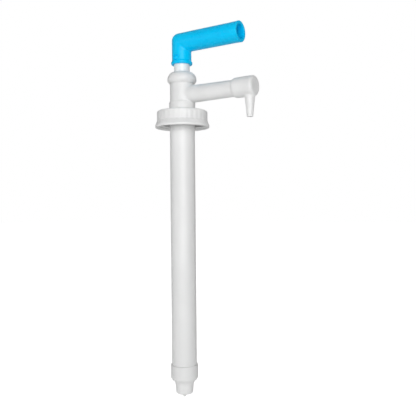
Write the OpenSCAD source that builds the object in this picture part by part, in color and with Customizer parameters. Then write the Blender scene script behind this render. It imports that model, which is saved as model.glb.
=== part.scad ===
// Hand lift pump for a jerrycan: a long tube hangs from a screw nut on the can's neck, a hollow
// rod with an L-shaped handle slides in it, and a side spout leads to a nozzle that points down.
// Millimetres. +Z is up along the pump's axis, the spout and the resting handle point along +X,
// and z = 0 is the sealing face that sits on the can's neck.

/* [Neck nut] */
// Diameter of the nut's ribbed body
nut_d = 65; // [64:0.5:68]
// Diameter of the flared rim at the nut's lower edge
nut_rim_d = 69.6; // [68:0.1:74]
// Height of the nut above the sealing face
nut_top = 7.8; // [7.4:0.1:9]
// Depth of the nut's skirt below the sealing face
nut_skirt = 13.5; // [12:0.5:16]
// Number of shallow flutes round the nut
nut_flutes = 30; // [20:2:40]

/* [Tube] */
// Outside diameter of the long tube
tube_d = 32; // [31.6:0.1:32.4]
// Bore of the tube, in which the piston runs
tube_bore = 28; // [27.6:0.1:28.4]
// Depth of the tube's lower end below the sealing face
tube_depth = 331; // [200:1:600]

/* [Pump body] */
// Diameter of the body's barrel
barrel_d = 30.8; // [30:0.1:31]
// Diameter of the thicker root that the nut turns on
root_d = 33.6; // [33:0.1:34]
// Height of the step between root and barrel
root_top = 18.7; // [12:0.1:19]
// Height of the barrel's upper end
barrel_top = 52.2; // [52:0.1:58]
// Height of the spout arm's centreline
arm_z = 28.4; // [26:0.1:29]
// Diameter of the gland cap
cap_d = 37.3; // [37:0.1:40]

/* [Spout] */
// Distance of the nozzle's axis from the pump's axis
nozzle_x = 98.6; // [90:0.1:130]
// Diameter of the arm where it leaves the barrel
arm_root_d = 22; // [21:0.1:23]
// Diameter of the arm where it enters the elbow
arm_end_d = 20.4; // [20:0.1:21]
// Diameter of the elbow
elbow_d = 24.6; // [24:0.1:26]
// Drop from the arm's centreline to the nozzle's tip
nozzle_drop = 36.4; // [30:0.1:50]
// Outside diameter of the nozzle under the elbow
nozzle_root_d = 13.1; // [12:0.1:14]
// Outside diameter of the nozzle's tip
nozzle_tip_d = 7.4; // [7:0.1:9]
// Bore of the nozzle's tip
outlet_d = 5.5; // [4:0.1:5.8]

/* [Handle] */
// Diameter of the grip and of the handle's socket
grip_d = 25; // [24.6:0.1:28]
// Distance of the grip's open end from the pump's axis
grip_reach = 86.6; // [70:0.1:120]
// Height of the handle's lower edge at rest
handle_z = 67.4; // [65:0.1:75]
// Height of the grip's centreline above the handle's lower edge
grip_rise = 28.3; // [28:0.1:40]
// Diameter of the bead round the handle's mouth
bead_d = 27.3; // [26.5:0.1:30]
// Radius of the handle's outer corner
bend_r = 10; // [6:0.5:12]

/* [Rod and valves] */
// Outside diameter of the rod
rod_d = 20; // [19.6:0.1:20.2]
// Bore of the rod
rod_bore = 16; // [15:0.1:16.4]
// Diameter of the piston's ball
piston_ball_d = 12; // [11.8:0.1:12.2]
// Diameter of the foot valve's ball
foot_ball_d = 14; // [13.8:0.1:14.2]
// Diameter of the foot valve's collar
foot_d = 35; // [34.6:0.1:38]

/* [Hidden] */
$fn = 96;
cut = 1;              // how far a cutter runs past a face
fit_gap = 0.05;       // radial gap between pieces that are fitted or run in each other
free_gap = 0.4;       // radial gap where a moving piece passes a fixed one

tube_r = tube_d / 2;
bore_r = tube_bore / 2;
rod_r = rod_d / 2;
barrel_r = barrel_d / 2;
root_r = root_d / 2;
cap_r = cap_d / 2;
grip_r = grip_d / 2;

// Neck: gasket, flange and nut, upwards from the sealing face
gasket_t = 2;
flange_t = 3;
flange_top = gasket_t + flange_t;
flange_r = 28.3;
hub_r = 18.6;
hub_depth = 4;
nut_wall_r = 30.6;
nut_thread_r = 29;
nut_thread_pitch = 6;
nut_roof_gap = 0.3;

// Body
spigot_end = -26;
spigot_r = bore_r - fit_gap;
water_r = 12;
gland_r = 12.9;
gland_floor = 43;
washer_t = 1.5;
seal_t = 3;
bush_z = gland_floor + washer_t + seal_t;
bush_flange_r = 15.2;
bush_flange_t = 1.2;
cap_foot = 43;
cap_top = barrel_top + 5.3;
cap_roof = 3.6;
cap_thread_pitch = 2.4;

// Spout
arm_bore_r = 8.2;
elbow_r = elbow_d / 2;
elbow_start = nozzle_x - 21.4;
elbow_end = nozzle_x + 7.6;
socket_end = elbow_start + 14;
elbow_wall = 2.5;
nozzle_tip_z = arm_z - nozzle_drop;
outlet_len = 12;

// Handle
grip_z = handle_z + grip_rise;
grip_bore_r = grip_r - 3.5;
lip_len = 8;
lip_out = 0.3;
bead_h = 4.2;
socket_depth = 16.4;
pin_z = handle_z + 7.5;
pin_head_r = 2.8;
pin_head_t = 1;
pin_shank_r = 1.5;
pin_seat_y = rod_r + 1.2;
pin_len = 3.4;

// Foot valve, upwards from the tube's end
tube_end = -tube_depth;
cage_flange_t = 1.5;
foot_gasket_t = 1.5;
foot_shoulder = tube_end - cage_flange_t - foot_gasket_t;
foot_collar_top = foot_shoulder + 16;
foot_throat_r = 4.5;
foot_chamber_r = 9.2;
foot_cone_top = foot_shoulder - 0.8;
foot_cone_foot = foot_cone_top - (foot_chamber_r - foot_throat_r);
foot_ball_z = foot_cone_foot - foot_throat_r + foot_ball_d / 2 * sqrt(2) + 0.03;
foot_lift = 5;
foot_stop_z = foot_ball_z + foot_ball_d / 2 + foot_lift + 0.2;
foot_stop_t = 2;
foot_cage_r = 9.8;
foot_cage_bore_r = 7.8;
foot_leg_w = 3;
inlet_roof = foot_cone_foot - 2;
inlet_floor = foot_shoulder - 20.9;
inlet_r = 8.6;
tip_z = inlet_floor - 5.7;

// Piston, upwards from its lower face
piston_z = foot_stop_z + foot_stop_t + 7.6;
seat_flange_t = 3;
seat_flange_r = bore_r - 0.8;
seat_hub_r = 9;
seat_top = 16;
piston_throat_r = 4;
piston_cone_h = 3;
guide_ring_t = 5;
cup_t = 7;
cup_base_t = 2.4;
cage_foot = seat_flange_t + guide_ring_t + cup_base_t;
cage_r = 11.4;
cage_bore_r = 6.8;
piston_ball_z = piston_z + seat_top - piston_cone_h - piston_throat_r
    + piston_ball_d / 2 * sqrt(2) + 0.03;
piston_lift = 4.5;
cage_crown = piston_ball_z - piston_z + piston_ball_d / 2 + piston_lift + 0.3;
rod_end = piston_z + cage_crown + 2.7;
cage_spigot = 15;

white = [0.93, 0.93, 0.92];
milk = [0.96, 0.97, 0.96];
sky = [0.01, 0.72, 0.93];
rubber = [0.25, 0.26, 0.27];
steel = [0.72, 0.73, 0.75];

// A solid of revolution about the pump's axis, from its half outline
module turned(outline) rotate_extrude() polygon(outline);

// A plain ring between two radii and two heights
module ring(inner, outer, low, high) turned([[inner, low], [outer, low], [outer, high], [inner, high]]);

// Points of an elliptical arc about a centre, from one angle to another
function arc(cx, cz, rx, rz, from, to, steps = 8) =
    [for (i = [0:steps]) let (a = from + (to - from) * i / steps) [cx + rx * cos(a), cz + rz * sin(a)]];

// Thread ridges as plain rings, one pitch apart, from a root radius to a crest radius
module ridges(root, crest, first, pitch, count, width) {
    for (i = [0:count - 1])
        translate([0, 0, first + i * pitch])
            turned([[root, -width / 2], [crest, -width / 5], [crest, width / 5], [root, width / 2]]);
}

module handle() {
    corner = grip_r - bend_r;
    color(sky) difference() {
        union() {
            translate([0, 0, handle_z + bead_h]) cylinder(r = grip_r, h = grip_rise - bead_h + corner);
            translate([-corner, 0, grip_z]) rotate([0, 90, 0]) cylinder(r = grip_r, h = grip_reach + corner);
            // the rounded outer corner, turned about a short cross axis
            translate([-corner, 0, grip_z + corner]) rotate([90, 0, 0])
                rotate_extrude(angle = 90, start = 90) intersection() {
                    translate([-corner, 0]) circle(r = grip_r);
                    translate([0, -grip_r]) square([grip_d, grip_d]);
                }
            turned(concat([[0, handle_z]],
                arc(bead_d / 2 - 2, handle_z + 2, 2, 2, -90, 0),
                arc(bead_d / 2 - 2, handle_z + bead_h - 1.6, 2, 2.2, 0, 60),
                [[grip_r, handle_z + bead_h + 1.2], [0, handle_z + bead_h + 1.2]]));
            // faint flare at the grip's open end
            translate([0, 0, grip_z]) rotate([0, 90, 0])
                turned([[0, grip_reach - lip_len], [grip_r, grip_reach - lip_len],
                    [grip_r + lip_out, grip_reach], [0, grip_reach]]);
        }
        translate([0, 0, handle_z - cut]) cylinder(r = rod_r + fit_gap, h = socket_depth + cut);
        translate([4, 0, grip_z]) rotate([0, 90, 0]) cylinder(r = grip_bore_r, h = grip_reach);
        translate([0, -pin_seat_y, pin_z]) rotate([90, 0, 0]) cylinder(r = pin_head_r + 0.2, h = grip_r);
        translate([0, -rod_r + cut, pin_z]) rotate([90, 0, 0])
            cylinder(r = pin_shank_r + fit_gap, h = pin_seat_y);
    }
}

// Domed pin through the handle's socket into the rod's wall
module handle_pin() {
    color(sky) translate([0, -pin_seat_y, pin_z]) rotate([90, 0, 0])
        turned(concat([[0, -pin_len], [pin_shank_r - 0.4, -pin_len], [pin_shank_r, 0.4 - pin_len],
            [pin_shank_r, 0], [pin_head_r, 0]], arc(0, 0.2, pin_head_r, pin_head_t - 0.2, 0, 90)));
}

module rod() {
    color(milk) difference() {
        ring(rod_bore / 2, rod_r, rod_end, handle_z + socket_depth);
        translate([0, 0, pin_z]) rotate([90, 0, 0]) cylinder(r = pin_shank_r + fit_gap, h = rod_d);
    }
}

module gland_cap() {
    inner_r = barrel_r + 1.3;
    lip_r = barrel_r + 0.5;
    dome_r = 8.2;
    dome_h = 9.2;
    color(white) union() {
        turned(concat([[lip_r, cap_foot], [cap_r - 2.4, cap_foot], [cap_r, cap_foot + 3.4]],
            arc(cap_r - dome_r, cap_top - dome_h, dome_r, dome_h, 0, 82),
            [[rod_r + free_gap, cap_top], [rod_r + free_gap, cap_top - cap_roof],
             [barrel_r + 0.2, cap_top - cap_roof], [barrel_r + 0.2, cap_top - 5.6], [inner_r, cap_top - 6.2],
             [inner_r, cap_foot + 2.4], [lip_r, cap_foot + 1.8]]));
        ridges(inner_r + 0.2, inner_r - 0.7, cap_foot + 3.8, cap_thread_pitch, 2, 1.4);
    }
}

module guide_bush() {
    color(milk) turned([[rod_r + fit_gap, bush_z], [gland_r - fit_gap, bush_z],
        [gland_r - fit_gap, barrel_top + 0.1], [bush_flange_r, barrel_top + 0.1],
        [bush_flange_r, barrel_top + 0.1 + bush_flange_t], [rod_r + fit_gap, barrel_top + 0.1 + bush_flange_t]]);
}

// Rubber ring, shown at its squeezed size
module rod_seal() {
    low = gland_floor + washer_t;
    inner = rod_r + fit_gap;
    outer = gland_r - fit_gap;
    color(rubber) turned(concat([[inner, low + 0.8]],
        [[inner + 0.8, low], [outer - 0.8, low], [outer, low + 0.8], [outer, low + seal_t - 0.9]],
        [[outer - 0.8, low + seal_t - 0.1], [inner + 0.8, low + seal_t - 0.1], [inner, low + seal_t - 0.9]]));
}

module gland_washer() {
    color(milk) ring(rod_r + free_gap, gland_r - fit_gap, gland_floor, gland_floor + washer_t);
}

// The tee: root, barrel with the gland thread, side arm, and a spigot down into the tube
module pump_body() {
    arm_r = arm_end_d / 2;
    color(white) difference() {
        union() {
            turned([[0, spigot_end], [spigot_r - 0.6, spigot_end], [spigot_r, spigot_end + 1.5],
                [spigot_r, flange_top], [root_r, flange_top], [root_r, root_top], [barrel_r, root_top + 0.9],
                [barrel_r, barrel_top - 0.8], [barrel_r - 0.8, barrel_top], [0, barrel_top]]);
            ridges(barrel_r - 0.2, barrel_r + 0.8, cap_foot + 2.6, cap_thread_pitch, 3, 1.4);
            translate([0, 0, arm_z]) rotate([0, 90, 0])
                turned([[0, barrel_r - 6], [arm_root_d / 2, barrel_r - 6], [arm_root_d / 2, barrel_r],
                    [arm_r, elbow_start], [arm_r, socket_end - 0.2], [0, socket_end - 0.2]]);
        }
        translate([0, 0, spigot_end - cut]) cylinder(r = water_r, h = barrel_top - spigot_end + 2 * cut);
        translate([0, 0, gland_floor]) cylinder(r = gland_r, h = barrel_top);
        translate([0, 0, arm_z]) rotate([0, 90, 0]) cylinder(r = arm_bore_r, h = socket_end + cut);
    }
}

module spout_elbow() {
    nozzle_root_z = arm_z - elbow_r + 3;
    color(white) difference() {
        union() {
            translate([0, 0, arm_z]) rotate([0, 90, 0])
                turned(concat([[0, elbow_start], [elbow_r - 1.6, elbow_start], [elbow_r, elbow_start + 2.6]],
                    arc(elbow_r - 2, elbow_end - 2, 2, 2, 0, 90), [[0, elbow_end]]));
            translate([nozzle_x, 0, nozzle_tip_z])
                cylinder(r1 = nozzle_tip_d / 2, r2 = nozzle_root_d / 2, h = nozzle_root_z - nozzle_tip_z);
        }
        translate([elbow_start - cut, 0, arm_z]) rotate([0, 90, 0])
            cylinder(r = arm_end_d / 2 + fit_gap, h = socket_end - elbow_start + cut);
        translate([elbow_start, 0, arm_z]) rotate([0, 90, 0])
            cylinder(r = arm_bore_r, h = elbow_end - elbow_wall - elbow_start);
        translate([nozzle_x, 0, nozzle_tip_z - cut]) cylinder(d = outlet_d, h = outlet_len + cut);
        translate([nozzle_x, 0, nozzle_tip_z + outlet_len - 0.01])
            cylinder(r1 = outlet_d / 2, r2 = 4.4, h = nozzle_drop - arm_bore_r - outlet_len + 2);
    }
}

module neck_nut() {
    body_r = nut_d / 2;
    rim_r = nut_rim_d / 2;
    flute_r = 9;
    flute_depth = 0.3;
    flute_clip = min(3, 0.45 * PI * nut_d / nut_flutes);    // keeps one cutter clear of the next
    color(white) union() {
        difference() {
            turned(concat([[root_r + free_gap, nut_top]],
                arc(body_r - 2.4, nut_top - 2.4, 2.4, 2.4, 90, 0, 6),
                [[body_r, 8.6 - nut_skirt], [rim_r - 0.6, 4.2 - nut_skirt], [rim_r, 3 - nut_skirt]],
                [[rim_r, 0.8 - nut_skirt], [rim_r - 0.8, -nut_skirt], [nut_wall_r + 1.6, -nut_skirt]],
                [[nut_wall_r, 2 - nut_skirt], [nut_wall_r, flange_top + nut_roof_gap]],
                [[root_r + free_gap, flange_top + nut_roof_gap]]));
            // shallow flutes, which stop short of the rounded top and of the rim
            for (i = [0:nut_flutes - 1]) rotate([0, 0, (i + 0.5) * 360 / nut_flutes])
                translate([0, 0, 7.6 - nut_skirt]) intersection() {
                    translate([body_r + flute_r - flute_depth, 0, 0])
                        cylinder(r = flute_r, h = nut_top - 2 - 7.6 + nut_skirt);
                    translate([body_r - 1, -flute_clip, 0])
                        cube([2, 2 * flute_clip, nut_top - 2 - 7.6 + nut_skirt]);
                }
        }
        ridges(nut_wall_r + 0.2, nut_thread_r, 4 - nut_skirt, nut_thread_pitch, 2, 3.2);
    }
}

// Collar welded to the tube's upper end, which the nut draws down on the gasket
module neck_flange() {
    inner = tube_r + fit_gap;
    color(white) turned([[inner, -hub_depth], [hub_r - 0.8, -hub_depth], [hub_r, 0.8 - hub_depth],
        [hub_r, gasket_t], [flange_r, gasket_t], [flange_r, flange_top], [inner, flange_top]]);
}

module neck_gasket() {
    color(rubber) ring(hub_r + 0.3, flange_r, 0, gasket_t);
}

module cylinder_tube() {
    color(white) ring(bore_r, tube_r, tube_end, flange_top);
}

// Upper part of the piston: pressed into the rod, with a windowed chamber over the ball
module piston_cage() {
    color(milk) translate([0, 0, piston_z]) difference() {
        turned([[seat_hub_r + fit_gap, cage_foot], [cage_r, cage_foot], [cage_r, seat_top + 1],
            [rod_r, cage_crown], [rod_r, rod_end - piston_z], [rod_bore / 2 - fit_gap, rod_end - piston_z],
            [rod_bore / 2 - fit_gap, rod_end - piston_z + cage_spigot], [0, rod_end - piston_z + cage_spigot],
            [0, cage_crown], [cage_bore_r, cage_crown], [cage_bore_r, seat_top + 0.1],
            [seat_hub_r + fit_gap, seat_top + 0.1]]);
        for (turn = [0, 90]) rotate([0, 0, turn])
            translate([-rod_d, -3, seat_top + 1.2]) cube([2 * rod_d, 6, cage_crown - seat_top - 2]);
    }
}

// Soft cup that seals the piston on the up-stroke, with its lip upwards
module piston_cup() {
    low = piston_z + seat_flange_t + guide_ring_t;
    lip_r = bore_r - fit_gap;
    color(rubber) turned([[seat_hub_r + fit_gap, low], [lip_r - 0.8, low], [lip_r, low + 4],
        [lip_r, low + cup_t], [lip_r - 0.7, low + cup_t], [lip_r - 1.6, low + cup_base_t],
        [seat_hub_r + fit_gap, low + cup_base_t]]);
}

module piston_guide_ring() {
    low = piston_z + seat_flange_t;
    color(milk) ring(seat_hub_r + fit_gap, bore_r - 2 * fit_gap, low, low + guide_ring_t);
}

// Lower part of the piston: flange, hub and the cone that the ball closes
module piston_seat() {
    color(milk) translate([0, 0, piston_z])
        turned([[piston_throat_r, 0], [seat_flange_r - 1, 0], [seat_flange_r, 1], [seat_flange_r, seat_flange_t],
            [seat_hub_r, seat_flange_t], [seat_hub_r, seat_top],
            [piston_throat_r + piston_cone_h, seat_top], [piston_throat_r, seat_top - piston_cone_h]]);
}

module piston_ball() {
    color(steel) translate([0, 0, piston_ball_z]) sphere(d = piston_ball_d);
}

// Cage that stops the foot ball, clamped under the tube's end
module foot_ball_cage() {
    color(milk) union() {
        ring(foot_cage_bore_r + 0.4, tube_r, tube_end - cage_flange_t, tube_end);
        intersection() {
            ring(foot_cage_bore_r, foot_cage_r, tube_end - cage_flange_t, foot_stop_z + foot_stop_t);
            for (turn = [0, 90]) rotate([0, 0, turn])
                translate([-tube_r, -foot_leg_w / 2, tube_end - cage_flange_t])
                    cube([tube_d, foot_leg_w, foot_stop_z + foot_stop_t - tube_end + cage_flange_t]);
        }
        for (turn = [0, 90]) rotate([0, 0, turn])
            translate([-foot_cage_bore_r - 0.8, -foot_leg_w / 2, foot_stop_z])
                cube([2 * foot_cage_bore_r + 1.6, foot_leg_w, foot_stop_t]);
    }
}

module foot_gasket() {
    color(rubber) ring(foot_cage_bore_r + 2, tube_r, foot_shoulder, foot_shoulder + foot_gasket_t);
}

module foot_ball() {
    color(steel) translate([0, 0, foot_ball_z]) sphere(d = foot_ball_d);
}

// Foot of the pump: socket round the tube's end, valve seat, and an inlet neck
module foot_valve_body() {
    collar_r = foot_d / 2;
    collar_foot = foot_shoulder - 0.5;
    color(white) turned(concat([[tube_r + fit_gap, foot_collar_top], [collar_r - 0.7, foot_collar_top],
            [collar_r, foot_collar_top - 1.4], [collar_r, collar_foot]],
        arc(collar_r + 0.4, collar_foot - 12, 6.4, 9.8, 108, 180, 7),
        [[10.8, inlet_floor + 1], [10.1, inlet_floor], [inlet_r, inlet_floor], [inlet_r, inlet_roof],
         [foot_throat_r, inlet_roof], [foot_throat_r, foot_cone_foot], [foot_chamber_r, foot_cone_top],
         [foot_chamber_r, foot_shoulder], [tube_r + fit_gap, foot_shoulder]]));
}

// Strainer plug with a pointed tip, pressed into the inlet neck: eight holes, with fins between them
module foot_strainer() {
    plug_r = inlet_r - fit_gap;
    plug_t = 3;
    core_top = inlet_roof - 0.5;
    color(white) union() {
        difference() {
            turned([[0, tip_z], [0.6, tip_z], [5.2, inlet_floor], [plug_r, inlet_floor],
                [plug_r, inlet_floor + plug_t], [2.2, inlet_floor + plug_t], [1.6, core_top], [0, core_top]]);
            for (i = [0:7]) rotate([0, 0, 45 * i])
                translate([6, 0, tip_z]) cylinder(r = 1.6, h = inlet_floor + plug_t + cut - tip_z);
        }
        intersection() {
            translate([0, 0, inlet_floor + 1]) cylinder(r = plug_r, h = core_top - inlet_floor - 1);
            for (i = [0:3]) rotate([0, 0, 22.5 + 45 * i])
                translate([-tube_r, -0.5, inlet_floor]) cube([tube_d, 1, core_top - inlet_floor]);
        }
    }
}

handle();
handle_pin();
rod();
gland_cap();
guide_bush();
rod_seal();
gland_washer();
pump_body();
spout_elbow();
neck_nut();
neck_flange();
neck_gasket();
cylinder_tube();
piston_cage();
piston_cup();
piston_guide_ring();
piston_seat();
piston_ball();
foot_ball_cage();
foot_gasket();
foot_ball();
foot_valve_body();
foot_strainer();
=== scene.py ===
# %% [markdown]
# # A hand lift pump for a jerrycan
# A long tube hangs from a screw nut on the can's neck. A hollow rod slides in the tube, and an
# L-shaped blue handle is pinned to its top. Each pull lifts liquid up the tube, into the tee
# above the nut, along the side arm and down out of the nozzle.
#
# The CAD model sets every size and every motion. This script builds the parts that can be seen
# again, smooth and rounded as moulded plastic is, and lays each one on the body that carries it.
# Sizes are written in millimetres and turned to metres only when a mesh is made.

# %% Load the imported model
import math

import bpy
import numpy as np
from mathutils import Matrix, Vector


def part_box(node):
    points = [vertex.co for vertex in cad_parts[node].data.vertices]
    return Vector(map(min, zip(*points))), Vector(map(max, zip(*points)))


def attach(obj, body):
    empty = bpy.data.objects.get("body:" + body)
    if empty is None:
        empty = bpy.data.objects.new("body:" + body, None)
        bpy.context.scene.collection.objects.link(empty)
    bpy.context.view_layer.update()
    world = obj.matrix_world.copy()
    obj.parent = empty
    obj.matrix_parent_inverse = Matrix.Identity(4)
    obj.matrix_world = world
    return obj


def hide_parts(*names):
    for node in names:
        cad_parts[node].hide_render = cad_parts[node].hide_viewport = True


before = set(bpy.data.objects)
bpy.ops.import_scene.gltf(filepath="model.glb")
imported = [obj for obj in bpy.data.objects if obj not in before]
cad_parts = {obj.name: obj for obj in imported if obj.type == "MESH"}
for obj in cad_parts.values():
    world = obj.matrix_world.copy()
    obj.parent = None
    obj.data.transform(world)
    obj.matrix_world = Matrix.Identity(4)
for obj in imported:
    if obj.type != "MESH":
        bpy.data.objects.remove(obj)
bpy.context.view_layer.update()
MM = 0.001


# %% [markdown]
# ## Where things are
# A piece takes its place from the box of its CAD node, so the two can't drift apart. +Z is up
# along the pump's axis, +X is the way that the spout and the resting handle point, and z = 0 is
# the face that sits on the can's neck.

# %% Levels read from the CAD boxes
def box_mm(node):
    """Lowest and highest corner of a CAD node, in millimetres."""
    low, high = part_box(node)
    return np.array(low) / MM, np.array(high) / MM


handle_low, handle_high = box_mm("handle")
rod_low, rod_high = box_mm("rod")
cap_low, cap_high = box_mm("gland_cap")
tee_low, tee_high = box_mm("pump_body")
elbow_low, elbow_high = box_mm("spout_elbow")
nut_low, nut_high = box_mm("neck_nut")
flange_low, flange_high = box_mm("neck_flange")
gasket_low, gasket_high = box_mm("neck_gasket")
tube_low, tube_high = box_mm("cylinder_tube")
foot_low, foot_high = box_mm("foot_valve_body")
strainer_low, strainer_high = box_mm("foot_strainer")
print("pump is", round(handle_high[2] - strainer_low[2], 1), "mm tall")


# %% [markdown]
# ## Camera
# The pump is seen level from a little below its nut, turned by about a third of a right angle, so
# that the spout and the handle come forward to the right. The camera is close for so long an
# object, which is why the handle is seen from below and the foot from above.

# %% Make the camera
VIEW_TURN = math.radians(32.5)
VIEW_DOWN = math.radians(0.435)
VIEW_ROLL = math.radians(0.51)
VIEW_SIDE, VIEW_BACK, VIEW_HEIGHT = 0.0321, 0.702, -0.1115
LENS, SENSOR = 47.08, 36.0

to_right = Vector((math.cos(VIEW_TURN), math.sin(VIEW_TURN), 0))
to_viewer = Vector((math.sin(VIEW_TURN), -math.cos(VIEW_TURN), 0))
camera_data = bpy.data.cameras.new("camera")
camera_data.lens, camera_data.sensor_width = LENS, SENSOR
camera_data.clip_start, camera_data.clip_end = 0.05, 50
camera = bpy.data.objects.new("camera", camera_data)
bpy.context.scene.collection.objects.link(camera)
camera.rotation_euler = (
    Matrix.Rotation(VIEW_TURN, 3, "Z")
    @ Matrix.Rotation(math.pi / 2 - VIEW_DOWN, 3, "X")
    @ Matrix.Rotation(-VIEW_ROLL, 3, "Z")
).to_euler()
camera.location = to_right * VIEW_SIDE + to_viewer * VIEW_BACK + Vector((0, 0, VIEW_HEIGHT))
bpy.context.scene.camera = camera
print("camera stands", round(camera.location.length, 3), "m from the neck")


# %% [markdown]
# ## Light, floor and background
# The pump is shown as in a catalogue: white all round, with one large soft light behind the viewer,
# a weak one at the left that opens the shaded side, one at the back for the edges, and a dim even
# light from everywhere else. A white surface that lights up the scene at full strength would wash
# out every shadow, so the world is white only where the camera looks straight at it, and dimmer as
# a source of light. The floor is treated in the same way. World, floor, finishes and shape rules
# are all trees of nodes, so the first tool adds one node to a tree.

# %% Add a node to a tree
def add_node(tree, kind, *inputs, options=None, **named):
    """Add a node, and link or set its inputs, by order or by name; returns its outputs."""
    node = tree.nodes.new(kind)
    for option, value in (options or {}).items():
        setattr(node, option, value)
    sockets = list(zip(node.inputs, inputs))
    sockets += [(node.inputs[label], value) for label, value in named.items()]
    for socket, value in sockets:
        if isinstance(value, bpy.types.NodeSocket):
            tree.links.new(value, socket)
        else:
            socket.default_value = value
    return node.outputs


def show_and_light(tree, kind, seen, lighting):
    """End a tree in one shader for the camera's own rays and another one for all other rays."""
    to_camera = add_node(tree, "ShaderNodeLightPath")["Is Camera Ray"]
    choice = add_node(tree, "ShaderNodeMixShader", to_camera, lighting, seen)[0]
    add_node(tree, "ShaderNodeOutput" + kind, Surface=choice)


# %% Set up the world
SKY_LIGHT = 0.25
WHITE = (1, 1, 1, 1)
world = bpy.data.worlds.new("studio")
bpy.context.scene.world = world
world.use_nodes = True
sky = world.node_tree
sky.nodes.clear()
show_and_light(
    sky, "World", seen=add_node(sky, "ShaderNodeBackground", Color=WHITE)[0],
    lighting=add_node(sky, "ShaderNodeBackground", Color=WHITE, Strength=SKY_LIGHT)[0])
bpy.context.scene.view_settings.view_transform = "Standard"
print("world lights the pump at", SKY_LIGHT)


# %% Hang the soft lights
AIM = Vector((0.03, 0, -0.12))


def soft_light(name, turn, rise, distance, size, watts):
    """A square area light that faces the pump; turn is to the right of the viewer's line."""
    data = bpy.data.lights.new(name, "AREA")
    data.size, data.energy = size, watts
    lamp = bpy.data.objects.new(name, data)
    bpy.context.scene.collection.objects.link(lamp)
    turn, rise = math.radians(turn), math.radians(rise)
    away = (to_viewer * math.cos(turn) + to_right * math.sin(turn)) * math.cos(rise)
    away += Vector((0, 0, math.sin(rise)))
    lamp.location = AIM + away * distance
    lamp.rotation_euler = away.to_track_quat("Z", "Y").to_euler()
    return lamp


soft_light("key_light", 0, 3, 1.9, 1.6, 32.5)
soft_light("fill_light", -70, 10, 2.0, 0.9, 2.5)
soft_light("back_light", 165, 35, 2.2, 1.2, 4)
# a small lamp that shows only as a narrow highlight on the glossy parts
accent = soft_light("accent_light", 13, 12, 1.7, 0.22, 5)
accent.visible_diffuse = False

# %% Lay the floor
FLOOR_REACH, FLOOR_GAP = 6.0, 0.0005
# grey and glow of the floor, as the camera sees it and as it lights the pump
PAPER_SEEN, PAPER_LIGHTING = (0.95, 0.80), (0.55, 0.30)


def glowing_sheet(tree, grey, glow):
    """A dull grey shader that also gives light."""
    dull = add_node(tree, "ShaderNodeBsdfDiffuse", Color=(grey, grey, grey, 1))[0]
    light = add_node(tree, "ShaderNodeEmission", Strength=glow)[0]
    return add_node(tree, "ShaderNodeAddShader", dull, light)[0]


floor_mesh = bpy.data.meshes.new("floor")
corners = [(-1, -1), (1, -1), (1, 1), (-1, 1)]
floor_mesh.from_pydata(
    [(x * FLOOR_REACH, y * FLOOR_REACH, strainer_low[2] * MM - FLOOR_GAP) for x, y in corners],
    [], [(0, 1, 2, 3)])
floor = bpy.data.objects.new("floor", floor_mesh)
bpy.context.scene.collection.objects.link(floor)
paper = bpy.data.materials.new("paper_floor")
paper.use_nodes = True
tree = paper.node_tree
tree.nodes.clear()
show_and_light(tree, "Material", seen=glowing_sheet(tree, *PAPER_SEEN),
               lighting=glowing_sheet(tree, *PAPER_LIGHTING))
floor_mesh.materials.append(paper)
print("floor lies at", round(floor_mesh.vertices[0].co.z, 4), "m")


# %% [markdown]
# ## Finishes
# Every finish is a small network of nodes. Noise on Object coordinates is read in metres, so a
# scale of 1000 makes grains about a millimetre across. One noise makes the surface slightly
# uneven, another one changes the gloss from place to place, and a broad one shifts the colour.
# What is the same all over a surface is set on the shader's own socket.

# %% Tools for building a finish
def spread(value, low, high, to_low, to_high):
    """Stretch part of a 0 to 1 signal on to another range."""
    return add_node(value.id_data, "ShaderNodeMapRange", value, low, high, to_low, to_high)[0]


def cloud(where, scale, detail=2, stretch=(1, 1, 1), roughness=0.5):
    """Noise over the surface, drawn out along an axis where stretch is less than 1."""
    tree = where.id_data
    place = add_node(tree, "ShaderNodeMapping", Vector=where, Scale=stretch)[0]
    return add_node(tree, "ShaderNodeTexNoise", Vector=place, Scale=scale, Detail=detail,
                    Roughness=roughness)[0]


def tint(signal, low, high, first, second):
    """Go from one colour to another while a signal rises from low to high."""
    tree = signal.id_data
    node = tree.nodes.new("ShaderNodeMix")
    node.data_type = "RGBA"
    tree.links.new(spread(signal, low, high, 0, 1), node.inputs[0])
    node.inputs[6].default_value = (*first, 1)
    node.inputs[7].default_value = (*second, 1)
    return node.outputs[2]


def relief(height, depth, strength, **under):
    """Bump from a height signal; depth is in metres."""
    return add_node(height.id_data, "ShaderNodeBump", Height=height, Distance=depth,
                    Strength=strength, **under)[0]


def finish_with(name, paint, **fixed):
    """A Principled finish: paint(where) returns its colour, roughness and normal."""
    material = bpy.data.materials.new(name)
    material.use_nodes = True
    tree = material.node_tree
    shader = tree.nodes["Principled BSDF"]
    # white plastic scatters every colour alike; the shader's own setting is made for skin
    shader.inputs["Subsurface Radius"].default_value = (1, 1, 1)
    painted = paint(add_node(tree, "ShaderNodeTexCoord")["Object"])
    for label, socket in zip(("Base Color", "Roughness", "Normal"), painted):
        tree.links.new(socket, shader.inputs[label])
    for label, value in fixed.items():
        shader.inputs[label.replace("_", " ")].default_value = value
    print("finish", name, "has", len(tree.nodes), "nodes")
    return material


# %% [markdown]
# ### Moulded white polyethylene
# The cap, tee, elbow, nut and foot are injection moulded. The mould is lightly spark-eroded, so
# the skin is satin, with grains far finer than a millimetre, and the plastic lets a little light
# in, which softens its shadows.

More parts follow.
